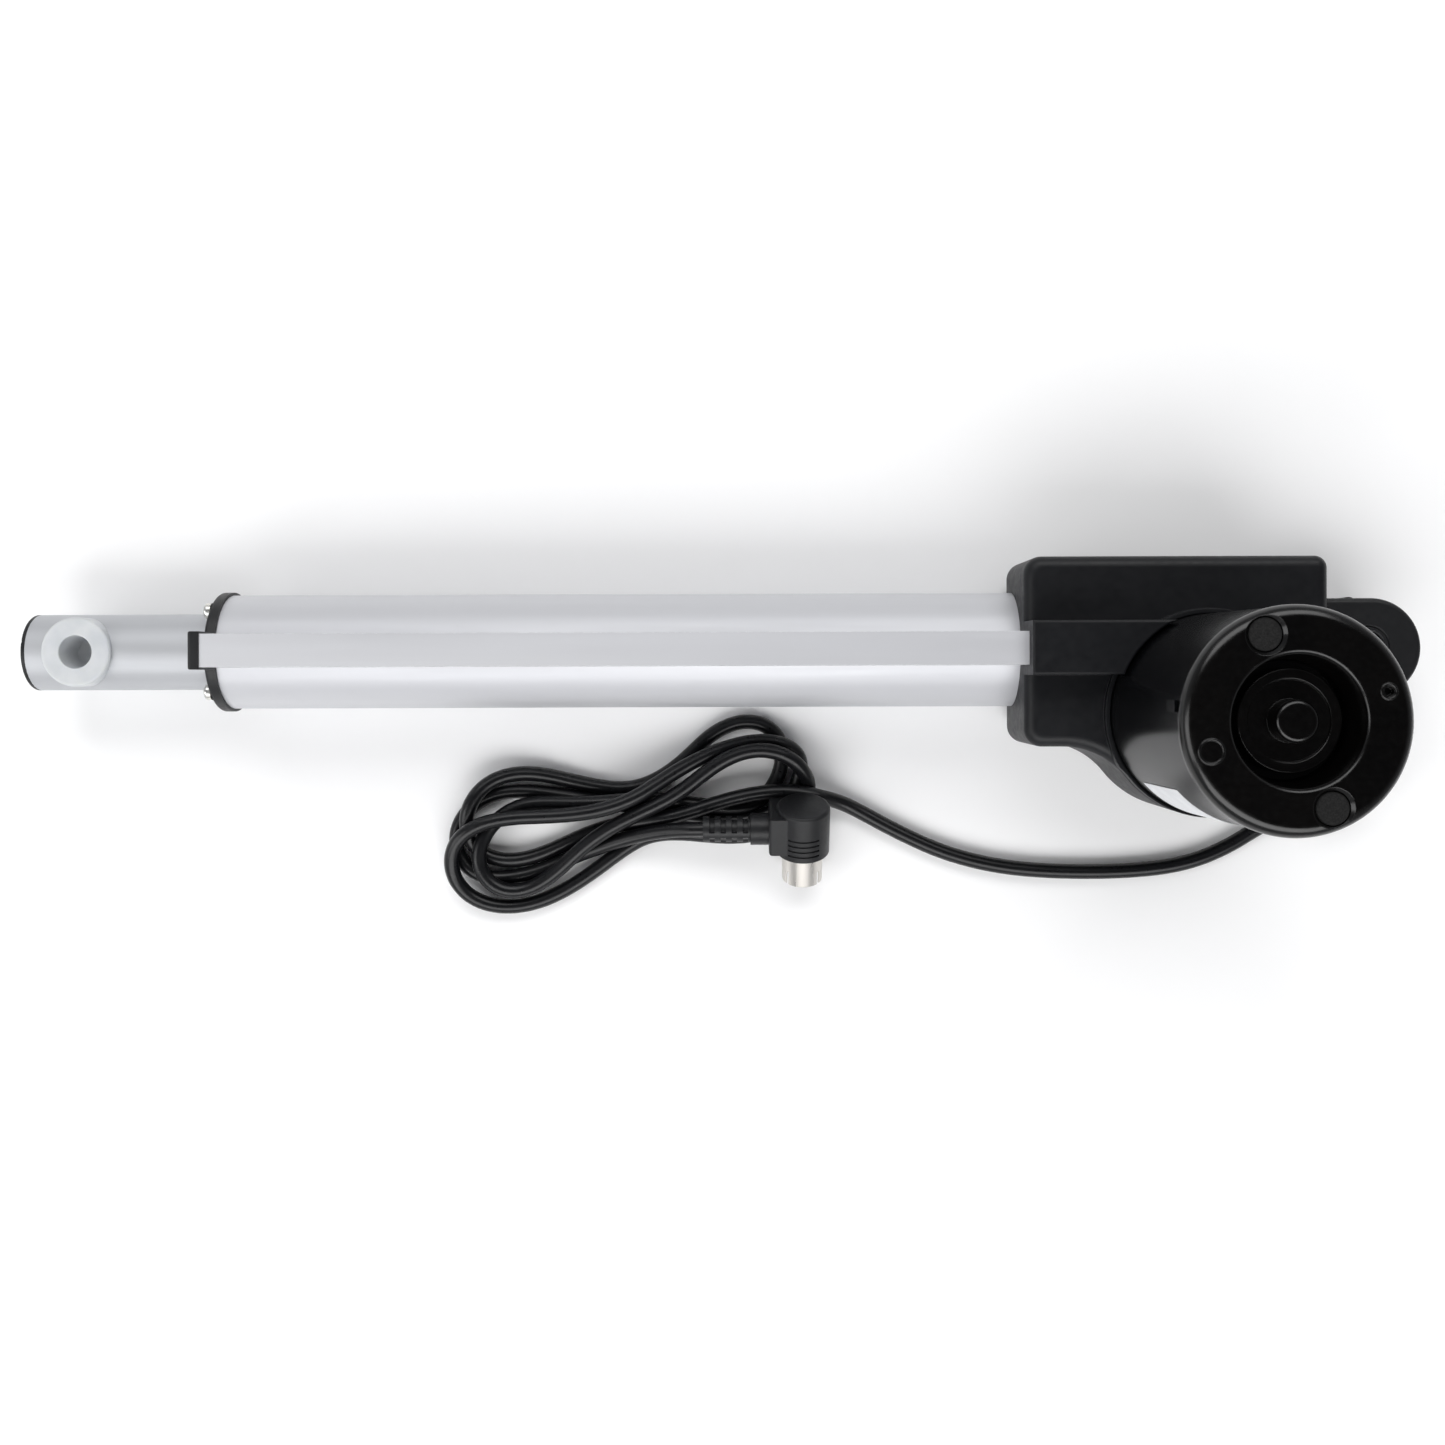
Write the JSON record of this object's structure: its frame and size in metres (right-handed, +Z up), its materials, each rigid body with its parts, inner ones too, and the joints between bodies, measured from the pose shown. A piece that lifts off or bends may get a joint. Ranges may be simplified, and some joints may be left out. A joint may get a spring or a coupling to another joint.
{
  "type": "linear actuator",
  "caption": "Electric linear actuator with an upright worm-gear motor, ribbed outer tube, sliding rod with eye, and a corded plug.",
  "frame": {"origin": "centre of the rear pivot hole, on the axis of the outer tube and rod", "axes": "+X from the rod's eye towards the rear pivot, along the tube; +Z up along the motor's axis and both pivot pins; the unit lies flat on a surface 21 mm below the origin"},
  "size_m": [0.4346, 0.1147, 0.1158],
  "materials": {
    "tube_aluminium": "satin anodised extrusion",
    "rod_aluminium": "fine drawn satin",
    "housing_black": "satin moulded nylon",
    "end_cap_black": "satin moulded",
    "can_black": "gloss black paint",
    "motor_cap_black": "satin moulded",
    "lug_black": "satin moulded",
    "white_nylon": "slightly translucent",
    "steel": "machined",
    "zinc_screw": "bright zinc",
    "rubber_black": "matt",
    "foam_grey": "open textured foam",
    "label_silver": "printed film",
    "board_green": "solder resist",
    "switch_black": "moulded",
    "copper": "enamelled wire and copper bars",
    "ferrite": "sintered",
    "bronze": "oiled sintered bronze",
    "carbon": "pressed carbon",
    "gear_acetal": "natural acetal",
    "cable_black": "smooth glossy PVC",
    "plug_black": "soft moulded PVC",
    "shell_nickel": "nickel-plated sheet",
    "pin_nickel": "plated brass"
  },
  "bodies": {
    "housing": {"housing_upper_shell": "housing_black", "housing_lower_cover": "housing_black", "housing_screws": "zinc_screw", "outer_tube": "tube_aluminium", "front_end_cap": "end_cap_black", "end_cap_screws": "zinc_screw", "rod_wiper": "rubber_black", "front_guide_bush": "gear_acetal", "limit_switch_board": "board_green", "limit_switches": "switch_black", "rear_lug": "lug_black", "rear_lug_bush": "end_cap_black", "motor_can": "can_black", "motor_end_cap": "motor_cap_black", "motor_cap_pads": "foam_grey", "motor_bolts": "steel", "motor_gasket": "rubber_black", "motor_magnets": "ferrite", "brush_holder": "switch_black", "brushes": "carbon", "lower_motor_bush": "bronze", "upper_motor_bush": "bronze", "worm_end_bush": "bronze", "worm_thrust_pad": "gear_acetal", "rating_label": "label_silver", "bearing_outer_rings": "steel", "bearing_balls": "steel", "cable_gland": "rubber_black", "cable": "cable_black", "cable_hank": "cable_black", "cable_tail": "cable_black", "plug_body": "plug_black", "plug_strain_relief": "plug_black", "plug_shell": "shell_nickel", "plug_insulator": "plug_black", "plug_pins": "pin_nickel"},
    "armature": {"motor_shaft": "steel", "worm": "steel", "armature_core": "steel", "armature_windings": "copper", "commutator": "copper"},
    "spindle": {"spindle": "steel", "spindle_front_guide": "gear_acetal", "spindle_lock_nut": "steel", "worm_wheel": "gear_acetal", "bearing_inner_rings": "steel"},
    "rod": {"inner_rod": "rod_aluminium", "rod_end_plug": "end_cap_black", "eye_bush_upper": "white_nylon", "eye_bush_lower": "white_nylon", "spindle_nut": "gear_acetal"}
  },
  "joints": [
    {"name": "motor_spin", "type": "hinge", "parent": "housing", "child": "armature", "pos_m": [-0.0535, -0.02, 0], "axis": [0, 0, 1], "range_deg": [0, 540000]},
    {"name": "spindle_spin", "type": "hinge", "parent": "housing", "child": "spindle", "pos_m": [0, 0, 0], "axis": [1, 0, 0], "range_deg": [0, 18000]},
    {"name": "rod_extend", "type": "slide", "parent": "housing", "child": "rod", "axis": [-1, 0, 0], "range_m": [0, 0.2]}
  ],
  "couplings": [
    {"joint": "spindle_spin", "follows": "motor_spin", "ratio": 0.033333},
    {"joint": "rod_extend", "follows": "motor_spin", "m_per_rad": 0.000021221}
  ]
}
